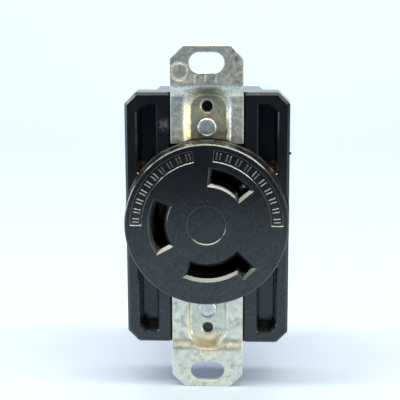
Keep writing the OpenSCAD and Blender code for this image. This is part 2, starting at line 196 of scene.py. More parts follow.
BASE_L = 41
BASE_END_H = -20
BASE_CLIP = 4
BASE_CORNER = 0.8
BASE_EDGE = ((-0.6, 0), (-0.3, 0.08), (-0.08, 0.3), (0, 0.6))
BARRIER_H = 1.2
BARRIER_HALF_W = 0.8
BARRIER_HALF_L = 18.5
BARRIER_REACH = BASE_HIGH.x - 2
BASE_REAR = BASE_LOW.z + BARRIER_H
END_HALF_W = 15.1
END_CLIP = 1.5
JOINT_W = 0.45
JOINT_DEPTH = 0.45
COUNTERBORE_R = 4.3
WELL_R = 4.4
WIRE_X = 10.95
WIRE_R = 2.4
FUNNEL_R = 3.4
FUNNEL_H = 1.2
SHELF_H = -24
ROOM_GAP = 0.1
STRIP_ROOMS = ((8.1, 9.1, 6.5, 12.1), (-11.5, -8.1, -2.5, 0.4), (1.5, 9.1, -12.1, -7.9))

THREAD_PITCH = 0.79375
THREAD_DEPTH = 0.42
SCREW_R = 2.4
SCREW_HEAD_H = 1.9
SCREW_SLOT_W = 1.1
SCREW_SLOT_DEPTH = 1.2

# Where each terminal stands: its letter, its side, +1 right or -1 left, and its height
TERMINALS = (("a", 1, 9.3), ("b", -1, 0), ("c", 1, -9.3))


# ------------------------------------------------------------------ outlines: lists of (x, y)

def arc(radius, start, end, steps, centre=(0, 0)):
    """Points on an arc, angles in degrees."""
    angles = [math.radians(start + (end - start) * i / steps) for i in range(steps + 1)]
    return [(centre[0] + radius * math.cos(a), centre[1] + radius * math.sin(a)) for a in angles]


def circle(radius, steps, centre=(0, 0)):
    return arc(radius, 0, 360, steps, centre)[:-1]


def clipped(width, length, clip):
    """Rectangle with its corners cut at 45 degrees."""
    a, b, c = width / 2, length / 2, clip
    return [(a - c, -b), (a, -b + c), (a, b - c), (a - c, b),
            (-a + c, b), (-a, b - c), (-a, -b + c), (-a + c, -b)]


def rectangle(x0, x1, y0, y1):
    return [(x0, y0), (x1, y0), (x1, y1), (x0, y1)]


def offset(outline, amount):
    """The outline with each side moved outwards by amount, corners mitred."""
    moved = []
    count = len(outline)
    for i in range(count):
        p, q, r = (Vector(outline[(i + k) % count]) for k in (-1, 0, 1))
        a, b = (q - p).normalized(), (r - q).normalized()
        normal_a, normal_b = Vector((a.y, -a.x)), Vector((b.y, -b.x))
        mitre = (normal_a + normal_b) / max(1 + normal_a.dot(normal_b), 0.1)
        moved.append(tuple(q + mitre * amount))
    return moved


def fillet(p, q, r, radius, steps):
    """Points that round the corner q between the sides p-q and q-r."""
    q = Vector(q)
    to_p, to_r = (Vector(p) - q), (Vector(r) - q)
    half = to_p.angle(to_r) / 2
    if half > math.radians(86):
        return [tuple(q)]
    reach = min(radius / math.tan(half), 0.45 * to_p.length, 0.45 * to_r.length)
    start, end = q + to_p.normalized() * reach, q + to_r.normalized() * reach
    centre = q + (to_p.normalized() + to_r.normalized()).normalized() * reach / math.cos(half)
    spoke = reach * math.tan(half)
    points = []
    for i in range(steps + 1):
        guess = start.lerp(end, i / steps) - centre
        points.append(tuple(centre + guess.normalized() * spoke))
    return points


def rounded(outline, radius, steps=4, closed=True):
    """The outline with its corners rounded. An open path keeps its two ends."""
    count = len(outline)
    points = []
    for i in range(count):
        if not closed and i in (0, count - 1):
            points.append(tuple(outline[i]))
        else:
            p, q, r = (outline[(i + k) % count] for k in (-1, 0, 1))
            points += fillet(p, q, r, radius, steps)
    return points


def mirrored(outline, flip_x, flip_y):
    """The outline mirrored, still anticlockwise."""
    points = [(-x if flip_x else x, -y if flip_y else y) for x, y in outline]
    return points[::-1] if flip_x != flip_y else points


# ------------------------------------------------------------------ meshes

def new_object(name, bm):
    bmesh.ops.recalc_face_normals(bm, faces=bm.faces)
    mesh = bpy.data.meshes.new(name)
    bm.to_mesh(mesh)
    bm.free()
    obj = bpy.data.objects.new(name, mesh)
    bpy.context.scene.collection.objects.link(obj)
    return obj


def stitch(bm, rows, around=True):
    """Quads between neighbouring rows of vertices."""
    for lower, upper in zip(rows, rows[1:]):
        count = len(lower)
        for i in range(count if around else count - 1):
            j = (i + 1) % count
            bm.faces.new((lower[i], lower[j], upper[j], upper[i]))


def loft(name, rings, place=to_row):
    """Closed solid through a stack of outlines with equal numbers of points: rings is [(outline, h)]."""
    bm = bmesh.new()
    rows = [[bm.verts.new(place(x, y, h)) for x, y in outline] for outline, h in rings]
    stitch(bm, rows)
    bm.faces.new(rows[0])
    bm.faces.new(rows[-1])
    return new_object(name, bm)


def sweep(name, outline, profile, base_h, corner=0, place=to_row):
    """Loft of one outline whose offset and height follow a profile of (offset, height) points."""
    rings = []
    for grow, height in profile:
        ring = offset(outline, grow)
        rings.append((rounded(ring, max(corner + grow, 0.02)) if corner else ring, base_h + height))
    return loft(name, rings, place)


def lathe(name, profile, centre=(0, 0), steps=96, place=to_row):
    """Solid of revolution about the h axis through centre: profile is [(radius, h)], ends on the axis."""
    bm = bmesh.new()
    rows = []
    for radius, h in profile[1:-1]:
        rows.append([bm.verts.new(place(x, y, h)) for x, y in circle(radius, steps, centre)])
    stitch(bm, rows)
    for tip, row in ((profile[0], rows[0]), (profile[-1], rows[-1])):
        point = bm.verts.new(place(*centre, tip[1]))
        for i in range(steps):
            bm.faces.new((point, row[i], row[(i + 1) % steps]))
    return new_object(name, bm)


def evaluated(obj):
    """Turns the object's modifiers into its mesh."""
    bpy.context.view_layer.update()
    mesh = bpy.data.meshes.new_from_object(obj.evaluated_get(bpy.context.evaluated_depsgraph_get()))
    obj.modifiers.clear()
    obj.data = mesh
    return obj


def boolean(target, tools, operation):
    """Adds the tools to the target or cuts them out of it, and removes them."""
    for tool in tools:
        modifier = target.modifiers.new("boolean", "BOOLEAN")
        modifier.operation = operation
        modifier.solver = "MANIFOLD"
        modifier.object = tool
        evaluated(target)
        bpy.data.objects.remove(tool)
    return target


def shaded(obj, angle=32):
    """Smooth shading that breaks at corners sharper than angle and keeps flat faces flat."""
    bm = bmesh.new()
    bm.from_mesh(obj.data)
    bmesh.ops.dissolve_limit(bm, angle_limit=math.radians(0.05), verts=bm.verts, edges=bm.edges)
    bm.to_mesh(obj.data)
    bm.free()
    for polygon in obj.data.polygons:
        polygon.use_smooth = True
    obj.data.set_sharp_from_angle(angle=math.radians(angle))
    modifier = obj.modifiers.new("normals", "WEIGHTED_NORMAL")
    modifier.keep_sharp = True
    return evaluated(obj)


# ------------------------------------------------------------------ front moulding

def slot_outline(index):
    """A blade slot. The third one has a straight leg along its end, for the plug's hooked blade."""
    start, end = SLOT_SPANS[index]
    inner = arc(SLOT_R[0], end, start, 24)
    if index < 2:
        return arc(SLOT_R[1], start, end, 24) + inner
    turn = Matrix.Rotation(math.radians(end), 2)
    leg = [tuple(turn @ Vector(corner)) for corner in ((LEG_END, -LEG_W), (LEG_END, 0))]
    meet = end - math.degrees(math.asin(LEG_W / SLOT_R[1]))
    return arc(SLOT_R[1], start, meet, 20) + leg + inner


def slot_cutter(index):
    deep = CHAMBER_TOP - FACE_H - 0.5
    walls = ((0, deep), (0, -SLOT_BEVEL), (SLOT_BEVEL, 0), (SLOT_BEVEL + 0.8, 0.25))
    return sweep("slot", slot_outline(index), rounded(walls, SLOT_EASE, 3, False), FACE_H)


def chamber_cutter(index, low, high):
    """Hollow behind a slot, for its contact."""
    start, end = SLOT_SPANS[index]
    outer = CHAMBER_HOOK_R if index == 2 else CHAMBER_R[1]
    outline = arc(outer, start - CHAMBER_MARGIN, end + CHAMBER_MARGIN, 24)
    outline += arc(CHAMBER_R[0], end + CHAMBER_MARGIN, start - CHAMBER_MARGIN, 24)
    return loft("chamber", [(outline, low), (outline, high)])


def pocket_cutter(flip_x, flip_y):
    (x0, x1), (y0, y1), clip = POCKET_X, POCKET_Y, POCKET_CLIP
    outline = [(x0, y0), (x1, y0), (x1, y1 - clip), (x1 - clip, y1), (x0, y1)]
    walls = (
        (-POCKET_DRAFT - 0.8, -POCKET_DEPTH), (-POCKET_DRAFT, -POCKET_DEPTH), (0, -POCKET_BORDER),
        (POCKET_BORDER, 0), (POCKET_BORDER + 0.9, 0.3))
    walls = rounded(walls, POCKET_EASE, 3, False)
    cutter = sweep("pocket", mirrored(outline, flip_x, flip_y), walls, FLANGE_FRONT, POCKET_CORNER)
    return boolean(cutter, [post(SKIRT_R)], "DIFFERENCE")


def post(radius):
    """Upright cylinder under the face, which the pockets and channels stop at."""
    outline = circle(radius, 192)
    return loft("post", [(outline, FLANGE_REAR - OVER), (outline, FACE_H + OVER)])


def channel_cutter(half_w, floor, flip_y, lip):
    """Channel for an ear: from the face out past the flange, its mouth's corners rounded by lip."""
    end = FLANGE_L / 2
    side = [(half_w, 0), (half_w, end - lip)]
    side += arc(lip, 180, 90, 6, (half_w + lip, end - lip))[1:]
    side += [(half_w + lip, end + 3)]
    outline = side + [(-x, y) for x, y in side[::-1]]
    rise = FLANGE_FRONT - floor
    walls = rounded(((-0.4, 0), (0, 0), (0, rise), (0.9, rise + 0.2)), CHANNEL_EASE, 3, False)
    cutter = sweep("channel", mirrored(outline, False, flip_y), walls, floor)
    return boolean(cutter, [post(FACE_R)], "DIFFERENCE")


def rivet_hole_cutters(low, high):
    cutters = []
    for side in (1, -1):
        hole = circle(RIVET_HOLE_R, 48, (0, side * RIVET_Y))
        cutters.append(loft("hole", [(hole, low), (hole, high)]))
    return cutters


def panel_cutters():
    """The face's three shallow panels: a round one, and two curved ones for labels."""
    above = 0.3
    walls = ((-PANEL_DEPTH, -PANEL_DEPTH), (above, above))
    outlines = [circle(PANEL_R, 96)]
    for start, end in LABEL_SPANS:
        outlines.append(arc(LABEL_R[1], start, end, 48) + arc(LABEL_R[0], end, start, 48))
    return [sweep("panel", outline, walls, FACE_H) for outline in outlines]


def label_ticks():
    """Pairs of plain raised ticks in each label panel."""
    profile = ((0, -0.1), (0, TICK_H - TICK_CHAMFER), (-TICK_CHAMFER, TICK_H))
    middle = sum(LABEL_R) / 2
    outline = rectangle(middle - TICK_REACH, middle + TICK_REACH, -TICK_HALF_W, TICK_HALF_W)
    ticks = []
    for start, end in LABEL_SPANS:
        step = (end - start) / TICK_PAIRS
        for i in range(TICK_PAIRS):
            for side in (-1, 1):
                turn = Matrix.Rotation(math.radians(start + step * (i + 0.5 + TICK_SPREAD * side)), 2)
                turned = [tuple(turn @ Vector(corner)) for corner in outline]
                ticks.append(sweep("tick", turned, profile, FACE_H - PANEL_DEPTH))
    return ticks


def chamfered_edge(size):
    """Profile of an outer edge, from its side to its face: a 45 degree chamfer with eased corners."""
    ease = 0.18 * size
    return [
        (0, -size - ease), (-ease / 3, -size + ease / 2), (ease / 2 - size, -ease / 3), (-size - ease, 0)]


def face_disc():
    """The round face on its skirt, trimmed to the flange's width."""
    skirt_top = FLANGE_FRONT + SKIRT_RISE
    rim = [(FACE_R + out, FACE_H + up) for out, up in chamfered_edge(FACE_EDGE)]
    disc = lathe("disc", [
        (0, FLANGE_FRONT - 2), (SKIRT_R, FLANGE_FRONT - 2), (SKIRT_R, FLANGE_FRONT),
        (FACE_R + 0.1, skirt_top - 0.1), (FACE_R, skirt_top + 0.1), *rim, (0, FACE_H)], steps=192)
    trim = rectangle(-FLANGE_W / 2, FLANGE_W / 2, -FLANGE_L, FLANGE_L)
    return boolean(disc, [loft("trim", [(trim, FLANGE_REAR), (trim, FACE_H + OVER)])], "INTERSECT")


def moulding_nub():
    """A small nub left on the flange's right side."""
    return lathe("nub", [
        (0, FLANGE_FRONT - 1.5), (0.3, FLANGE_FRONT - 1.4), (0.4, FLANGE_FRONT - 1.1),
        (0.3, FLANGE_FRONT - 0.8), (0, FLANGE_FRONT - 0.7)],
        centre=(FLANGE_W / 2 + 0.05, NUB_Y), steps=16)


def make_front_body():
    rear = FLANGE_REAR - FLANGE_FRONT
    edges = [(-0.3, rear), (0, rear + 0.3), *chamfered_edge(FLANGE_EDGE)]
    body = sweep(
        "front_moulding", clipped(FLANGE_W, FLANGE_L, FLANGE_CLIP), edges, FLANGE_FRONT, FLANGE_CORNER)
    boolean(body, [face_disc()], "UNION")
    cutters = [slot_cutter(i) for i in range(3)]
    cutters += [chamber_cutter(i, FLANGE_REAR - OVER, CHAMBER_TOP) for i in range(3)]
    cutters += [pocket_cutter(x, y) for x in (False, True) for y in (False, True)]
    cutters += panel_cutters()
    for flip in (False, True):
        cutters.append(channel_cutter(CHANNEL_HALF_W, CHANNEL_H, flip, CHANNEL_LIP))
        cutters.append(channel_cutter(PIT_HALF_W, PIT_H, flip, PIT_LIP))
    cutters += rivet_hole_cutters(FLANGE_REAR - OVER, 0)
    boolean(body, cutters, "DIFFERENCE")
    boolean(body, [*label_ticks(), moulding_nub()], "UNION")
    return shaded(body)


# ------------------------------------------------------------------ rear moulding

def sideways(side, y, h):
    """Placing for shapes drawn about a terminal's screw axis: their h runs out from the centre line."""
    return lambda a, b, out: to_row(side * out, y + a, h + b)


def screw_axis_h(letter):
    low, high = cad_box(f"terminal_screw_{letter}")
    return (low.z + high.z) / 2


def terminal_cutters(letter, side, y):
    """Room for a terminal box, the well round its screw's head and the hole for its wire."""
    low, high = cad_box(f"terminal_box_{letter}")
    room = rectangle(low.x - ROOM_GAP, high.x + ROOM_GAP, low.y - ROOM_GAP, high.y + ROOM_GAP)
    inner, outer = high.x if side > 0 else -low.x, BASE_HIGH.x
    well = lathe("well", [
        (0, inner), (WELL_R, inner), (WELL_R, outer - 0.35), (WELL_R + 0.1, outer - 0.12),
        (WELL_R + 0.35, outer + 0.05), (WELL_R + 1, outer + 0.3), (0, outer + 0.3)],
        steps=64, place=sideways(side, y, screw_axis_h(letter)))
    throat = BASE_REAR + FUNNEL_H
    wire = lathe("wire", [
        (0, SHELF_H + OVER), (WIRE_R, SHELF_H + OVER), (WIRE_R, throat + 0.1),
        (WIRE_R + 0.08, throat - 0.1), (FUNNEL_R - 0.1, BASE_REAR + 0.12),
        (FUNNEL_R + 0.2, BASE_REAR - 0.1), (0, BASE_REAR - 0.1)], centre=(side * WIRE_X, y), steps=64)
    return [loft("room", [(room, SHELF_H), (room, FLANGE_REAR + OVER)]), well, wire]


def strip_cutters():
    """Room for the strip from each contact to its terminal."""
    cutters = []
    for x0, x1, y0, y1 in STRIP_ROOMS:
        outline = rectangle(x0 - ROOM_GAP, x1 + ROOM_GAP, y0 - ROOM_GAP, y1 + ROOM_GAP)
        cutters.append(loft("strip_room", [(outline, CHAMBER_BOTTOM), (outline, FLANGE_REAR + OVER)]))
    return cutters


def barrier(x0, x1, y0, y1):
    """Raised rib that keeps the wires apart."""
    profile = ((-0.3, 0), (-0.08, 0.08), (0, 0.3), (0, 1.0))
    return sweep("barrier", rectangle(x0, x1, y0, y1), profile, BASE_LOW.z, corner=0.5)


def counterbore(side):
    """Sink for the washer of a rivet."""
    floor, mouth = WASHER_HIGH.z, BASE_END_H
    return lathe("counterbore", [
        (0, floor), (COUNTERBORE_R, floor), (COUNTERBORE_R, mouth + 0.3),
        (COUNTERBORE_R + 0.1, mouth + 0.08), (COUNTERBORE_R + 0.4, mouth - 0.1), (0, mouth - 0.1)],
        centre=(0, side * RIVET_Y), steps=64)


def rear_block(name, width, length, clip, rear):
    """Block from the height rear up to the front moulding, with a groove where the two meet."""
    top = FLANGE_REAR - rear
    groove = top - JOINT_W
    profile = (
        *BASE_EDGE, (0, groove - 0.1), (-0.1, groove), (-JOINT_DEPTH, groove), (-JOINT_DEPTH, top))
    return sweep(name, clipped(width, length, clip), profile, rear, BASE_CORNER)


def make_rear_base():
    base = rear_block("rear_moulding", 2 * BASE_HIGH.x, BASE_L, BASE_CLIP, BASE_REAR)
    ends = rear_block("ends", 2 * END_HALF_W, 2 * BASE_HIGH.y, END_CLIP, BASE_END_H)
    upright = barrier(-BARRIER_HALF_W, BARRIER_HALF_W, -BARRIER_HALF_L, BARRIER_HALF_L)
    level = barrier(0, BARRIER_REACH, -BARRIER_HALF_W, BARRIER_HALF_W)
    boolean(base, [ends, upright, level], "UNION")
    cutters = [chamber_cutter(i, CHAMBER_BOTTOM, FLANGE_REAR + OVER) for i in range(3)]
    for terminal in TERMINALS:
        cutters += terminal_cutters(*terminal)
    cutters += strip_cutters() + rivet_hole_cutters(BASE_END_H - OVER, FLANGE_REAR + OVER)
    cutters += [counterbore(side) for side in (1, -1)]
    boolean(base, cutters, "DIFFERENCE")
    return shaded(base)


# ------------------------------------------------------------------ mounting ears

def smooth_min(a, b, blend):
    """The lower of two heights, rounded where they cross."""
    t = max(blend - abs(a - b), 0) / blend
    return min(a, b) - t * t * blend / 4


def smooth_max(a, b, blend):
    return -smooth_min(-a, -b, blend)


def ear_sheet(x, y, press):
    """Height of the ear's front surface: tip, joggle and wings, with the drawn recess pressed into them."""
    slope = WING_H * (JOGGLE[1] - y) / (JOGGLE[1] - JOGGLE[0])
    sheet = smooth_max(smooth_min(0, slope, BEND_BLEND), WING_H, BEND_BLEND)
    dx = max(abs(x - press.middle) - RECESS_HALF_W + RECESS_CORNER, 0)
    dy = max(y - RECESS_END + RECESS_CORNER, 0)
    away = math.hypot(dx, dy)
    share = (dy / away) ** 2 if away else 0
    side = press.left if x < press.middle else press.right
    flank = side + (press.end - side) * share
    wall = RECESS_H + (away - RECESS_CORNER) / flank
    recess = smooth_max(RECESS_H, wall, FOOT_BLEND)
    return smooth_min(sheet, recess, press.rim)


def stamp_depth(x, y, marks):
    depth = 0
    for kind, cx, cy, size in marks:
        if kind == "ring":
            away = abs(math.hypot(x - cx, y - cy) - size)
        else:
            away = math.hypot(x - cx, max(abs(y - cy) - size, 0))
        depth = max(depth, STAMP_DEPTH * math.exp(-((away / STAMP_W) ** 2)))
    return depth


def resampled(outline, step):
    """The closed outline with no side longer than step."""
    points = []
    for p, q in zip(outline, outline[1:] + outline[:1]):
        p, q = Vector(p), Vector(q)
        pieces = max(1, math.ceil((q - p).length / step))
        points += [tuple(p.lerp(q, i / pieces)) for i in range(pieces)]
    return points


def ear_outline():
    w, tip, end, clip = EAR_HALF_W, EAR_TIP, EAR_END, EAR_CLIP
    meet = math.degrees(math.asin(end / EAR_ARC_R))
    outline = [(w, end), (w, tip - clip), (w - clip, tip), (-w + clip, tip), (-w, tip - clip), (-w, end)]
    return rounded(outline + arc(EAR_ARC_R, 180 - meet, meet, 40), 0.5, 5)


def stadium(width, height, centre):
    half = (width - height) / 2
    right = arc(height / 2, -90, 90, 16, (centre[0] + half, centre[1]))
    return right + arc(height / 2, 90, 270, 16, (centre[0] - half, centre[1]))


def inside(points, outline):
    """Which of the points lie inside the outline."""
    x, y = points[:, 0], points[:, 1]
    result = np.zeros(len(points), bool)
    for (x0, y0), (x1, y1) in zip(outline, outline[1:] + outline[:1]):
        if y0 != y1:
            crosses = (y0 > y) != (y1 > y)
            result ^= crosses & (x < (x1 - x0) * (y - y0) / (y1 - y0) + x0)
    return result


def on_sheet(points, cuts):
    """Which of the points lie inside the first cut, the outline, and outside the others, the holes."""
    result = inside(points, cuts[0])
    for hole in cuts[1:]:
        result &= ~inside(points, hole)
    return result


def grid_points(x0, x1, y0, y1, step):
    """Points of a triangular grid."""
    points = []
    for i, y in enumerate(np.arange(y0, y1, step * 0.866)):
        points += [(x + step / 2 * (i % 2), y) for x in np.arange(x0, x1, step)]
    return np.array(points)


def face_points(cuts, rim_points, fine):
    """Points of the sheet's face, off its rims, closer together in the fine areas."""
    points = grid_points(-EAR_HALF_W, EAR_HALF_W, EAR_END, EAR_TIP, COARSE_STEP)
    for x0, x1, y0, y1 in fine:
        x, y = points[:, 0], points[:, 1]
        within = (x > x0) & (x < x1) & (y > y0) & (y < y1)
        points = np.vstack([points[~within], grid_points(x0, x1, y0, y1, FINE_STEP)])
    keep = on_sheet(points, cuts)
    many = 500
    for start in range(0, len(points), many):
        block = points[start:start + many]
        gaps = np.linalg.norm(block[:, None, :] - rim_points[None, :, :], axis=2).min(1)
        keep[start:start + many] &= gaps > RIM_GAP
    return points[keep]


def rolled_rims(outline, holes):
    """Loops along which the cut edges roll over, ROLL_STEPS to each edge, and how far each one drops."""
    rims, drops = [], []
    for loop, inwards in [(outline, -1)] + [(hole, 1) for hole in holes]:
        loop = resampled(loop, RIM_STEP)
        for bend in np.linspace(0, math.pi / 2, ROLL_STEPS):
            rims.append(offset(loop, inwards * ROLL_R * (1 - math.cos(bend))))
            drops.append(ROLL_R * (1 - math.sin(bend)))
    return rims, drops


def sheet_mesh(name, outline, holes, height, thickness, fine, flip):
    """A pressed sheet: height(x, y) gives its front surface, and its cut edges are rolled over."""
    rims, drops = rolled_rims(outline, holes)
    cuts = rims[::ROLL_STEPS]
    rim_points = np.array([point for rim in rims for point in rim])
    points = [Vector(point) for point in (*rim_points, *face_points(cuts, rim_points, fine))]
    edges, count = [], 0
    for rim in rims:
        edges += [(count + i, count + (i + 1) % len(rim)) for i in range(len(rim))]
        count += len(rim)
    flat, _, faces, origins, _, _ = delaunay_2d_cdt(points, edges, [], 0, 1e-5)
    middles = np.array([[sum(flat[i][k] for i in face) / 3 for k in (0, 1)] for face in faces])
    rim_drops = [drop for rim, drop in zip(rims, drops) for _ in rim]
    bm = bmesh.new()
    front, rear = [], []
    sign = -1 if flip else 1
    for point, origin in zip(flat, origins):
        drop = min((rim_drops[i] for i in origin if i < len(rim_drops)), default=0)
        top = height(point.x, point.y)
        front.append(bm.verts.new(to_row(point.x, sign * point.y, top - drop)))
        rear.append(bm.verts.new(to_row(point.x, sign * point.y, top - thickness + REAR_ROLL * drop)))
    for face, wanted in zip(faces, on_sheet(middles, cuts)):
        if wanted:
            bm.faces.new([front[i] for i in face])
            bm.faces.new([rear[i] for i in face[::-1]])
    where = {origin: i for i, found in enumerate(origins) for origin in found}
    start = 0
    for number, rim in enumerate(rims):
        if number % ROLL_STEPS == 0:
            loop = [where[start + i] for i in range(len(rim))]
            stitch(bm, [[front[i] for i in loop], [rear[i] for i in loop]])
        start += len(rim)
    bmesh.ops.delete(bm, geom=[v for v in bm.verts if not v.link_faces], context="VERTS")
    return new_object(name, bm)


def make_ear(name, flip, press, marks, fine):
    """An ear, slightly uneven, whose tapped hole has a drawn-in lip."""
    seed = 7.3 if flip else 2.1
    holes = [
        stadium(*EAR_SLOT, (0, EAR_SLOT_Y)), circle(COVER_HOLE_R, 40, (0, COVER_HOLE_Y)),
        circle(RIVET_HOLE_R, 32, (0, RIVET_Y))]
    lip_depth, lip_w = HOLE_LIP

    def height(x, y):
        waves = WAVE_H * noise.noise(Vector((x * WAVES_PER_MM, y * WAVES_PER_MM, seed)))
        away = math.hypot(x, y - COVER_HOLE_Y) - COVER_HOLE_R
        lip = lip_depth * math.exp(-((away / lip_w) ** 2))
        return ear_sheet(x, y, press) + waves - lip - stamp_depth(x, y, marks)

    ear = sheet_mesh(name, ear_outline(), holes, height, EAR_T, fine, flip)
    return shaded(ear, angle=50)


# ------------------------------------------------------------------ rivets and screws

def make_rivet(name, side):
    """A rivet from its flat head, with a rolled rim, down its shank to its upset end."""
    r, top, seat = RIVET_HEAD_R, RIVET_HIGH.z, RECESS_H
    anvil, tail = WASHER_LOW.z, RIVET_LOW.z
    head = [
        (0, top - 0.14), (r * 0.70, top - 0.14), (r * 0.76, top - 0.10), (r * 0.83, top - 0.01),
        (r * 0.88, top), (r * 0.95, top - 0.11), (r, top - 0.32), (r, seat + 0.12), (r - 0.1, seat + 0.02)]
    shank = [(RIVET_R, seat), (RIVET_R, anvil)]
    upset = [
        (2.45, anvil), (2.5, anvil - 0.3), (2.3, anvil - 0.8), (1.8, tail + 0.12), (1.2, tail),
        (0.8, tail + 0.15), (0.4, tail + 0.3), (0, tail + 0.32)]
    return shaded(lathe(name, head + shank + upset, centre=(0, side * RIVET_Y), steps=72))


def thread(name, radius, depth, start, end, place):
    """A closed cylinder with a helical thread of THREAD_PITCH, faded out at its tip."""
    around, per_turn, flank, fade = 48, 8, 2.6, 0.5
    along = int((end - start) / THREAD_PITCH * per_turn)
    bm = bmesh.new()
    rows = []
    for j in range(along + 1):
        out = start + (end - start) * j / along
        row = []
        for i in range(around):
            phase = (out / THREAD_PITCH - i / around) % 1
            groove = depth * max(0, 1 - abs(phase - 0.5) * flank)
            r = radius - max(groove, fade - (out - start))
            angle = 2 * math.pi * i / around
            row.append(bm.verts.new(place(r * math.cos(angle), r * math.sin(angle), out)))
        rows.append(row)
    stitch(bm, rows)
    bm.faces.new(rows[0])
    bm.faces.new(rows[-1])
    return new_object(name, bm)


def make_screw(letter, side, y):
    low, high = cad_box(f"terminal_screw_{letter}")
    tip, top = (low.x, high.x) if side > 0 else (-high.x, -low.x)
    r = (high.y - low.y) / 2
    seat = top - SCREW_HEAD_H
    place = sideways(side, y, screw_axis_h(letter))
    screw = lathe(f"clamp_screw_{letter}", [
        (0, seat - 0.4), (1.9, seat - 0.4), (2.35, seat - 0.05), (2.6, seat), (r - 0.15, seat),
        (r, seat + 0.15), (r, top - 0.6), (r - 0.08, top - 0.35), (r - 0.3, top - 0.15),
        (r - 0.7, top - 0.06), (1.5, top), (0, top)], steps=72, place=place)
    cut = rectangle(-r - OVER, r + OVER, -SCREW_SLOT_W / 2, SCREW_SLOT_W / 2)
    slot = loft("slot", [(cut, top - SCREW_SLOT_DEPTH), (cut, top + OVER)], place)
    boolean(screw, [slot], "DIFFERENCE")
    boolean(screw, [thread("thread", SCREW_R, THREAD_DEPTH, tip, seat - 0.1, place)], "UNION")
    return shaded(screw, angle=40)


# ------------------------------------------------------------------ inner pieces, from their CAD shapes

def eased(node, name, width):
    """A copy of a CAD node with its sharp edges rounded off."""
    bm = bmesh.new()
    bm.from_mesh(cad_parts[node].data)
    bmesh.ops.remove_doubles(bm, verts=bm.verts, dist=1e-7)
    bmesh.ops.dissolve_limit(
        bm, angle_limit=math.radians(1), verts=bm.verts, edges=bm.edges, use_dissolve_boundaries=False)
    piece = new_object(name, bm)
    bevel = piece.modifiers.new("bevel", "BEVEL")
    bevel.limit_method = "ANGLE"
    bevel.angle_limit = math.radians(40)
    bevel.width = width * MM
    bevel.segments = 2
    return shaded(evaluated(piece))


# ------------------------------------------------------------------ materials

# Colours are red, green, blue and, where a node takes four numbers, an opacity of 1
BLACK_DEEP = (0.0052, 0.0062, 0.0085, 1)
BLACK_PALE = (0.0080, 0.0088, 0.0112, 1)
SCRATCH_GREY = (0.040, 0.045, 0.05, 1)
STROKE_GREY = (0.030, 0.036, 0.041, 1)
DUST_GREY = (0.30, 0.28, 0.25, 1)
SCUFF_GREY = (0.115, 0.11, 0.115, 1)
GLINT_YELLOW = (0.34, 0.27, 0.12, 1)
EDGE_HIGHLIGHT_GREY = (0.055, 0.055, 0.056, 1)
GLOSS_TINT = (0.80, 0.92, 1.0, 1)

# Places on the front: x, height and radius in mm
SCUFF = (-11.1, 25.3, 2.3)
# Golden spots of painted highlight at the lower ends of the upper pockets
GLINT_SPOTS = ((-17.4, 14.2, 1.0), (17.5, 14.2, 1.3))
# Middle and radius, in mm, of the arch painted at each ear's recess end: painted shade on the upper ear, a
# painted highlight on the lower
PAINTED_ARCH_X = 0.3
PAINTED_ARCH_R = 4.4

# Axes of the row frame that materials measure along
BACK = 1
UP = 2


def add(tree, kind, values=None, **settings):
    """Adds a node. values sets its inputs, each to a number or colour or by a link from a socket."""
    made = tree.nodes.new(kind)
    for key, value in settings.items():
        setattr(made, key, value)
    for key, value in (values or {}).items():
        if isinstance(value, bpy.types.NodeSocket):
            tree.links.new(value, made.inputs[key])
        else:
            made.inputs[key].default_value = value
    return made


def object_mm(tree, stretch=(1, 1, 1), turn=0):
    """The surface point in the row frame, in millimetres, turned about Y and stretched."""
    where = add(tree, "ShaderNodeTexCoord").outputs["Object"]
    scale = [s / MM for s in stretch]
    turned = add(tree, "ShaderNodeMapping", {"Vector": where, "Rotation": (0, math.radians(turn), 0)})
    return add(tree, "ShaderNodeMapping", {"Vector": turned.outputs[0], "Scale": scale}).outputs[0]


def clouds(tree, scale, detail=4, roughness=0.55, coords=None):
    """Noise with its period in millimetres."""
    coords = coords or object_mm(tree)
    values = {"Vector": coords, "Scale": 1 / scale, "Detail": detail, "Roughness": roughness}
    return add(tree, "ShaderNodeTexNoise", values).outputs["Fac"]


def band(tree, value, low, high, out_low=0.0, out_high=1.0):
    """value mapped from low..high to out_low..out_high, clamped."""
    values = {0: value, 1: low, 2: high, 3: out_low, 4: out_high}
    return add(tree, "ShaderNodeMapRange", values).outputs[0]


def math_node(tree, operation, a, b):
    return add(tree, "ShaderNodeMath", {0: a, 1: b}, operation=operation).outputs[0]


def times(tree, a, b):
    return math_node(tree, "MULTIPLY", a, b)


def plus(tree, a, b):
    return math_node(tree, "ADD", a, b)


def larger(tree, a, b):
    return math_node(tree, "MAXIMUM", a, b)


def blend_colour(tree, share, a, b):
    return add(tree, "ShaderNodeMix", {0: share, 6: a, 7: b}, data_type="RGBA").outputs[2]


def laid_over(tree, colour, share, strength, tint):
    """The colour, with a tint over it where share is 1, as strong as strength."""
    return blend_colour(tree, times(tree, share, strength), colour, tint)


def coordinate(tree, axis):
    """Where the surface point lies along an axis of the row frame, in mm."""
    return add(tree, "ShaderNodeSeparateXYZ", {0: object_mm(tree)}).outputs[axis]


def bump(tree, height, distance, strength=1.0, under=None):
    values = {"Height": height, "Distance": distance * MM, "Strength": strength}
    if under:
        values["Normal"] = under
    return add(tree, "ShaderNodeBump", values).outputs[0]


def specks(tree, spacing, size, share, coords=None):
    """Small round marks on a share of the cells of a grid spacing mm wide."""
    coords = coords or object_mm(tree)
    cells = add(tree, "ShaderNodeTexVoronoi", {"Vector": coords, "Scale": 1 / spacing})
    near = band(tree, cells.outputs["Distance"], size / spacing, size / spacing * 0.4)
    chance = add(tree, "ShaderNodeSeparateColor", {0: cells.outputs["Color"]}).outputs[0]
    return times(tree, near, band(tree, chance, share, share - 0.01))


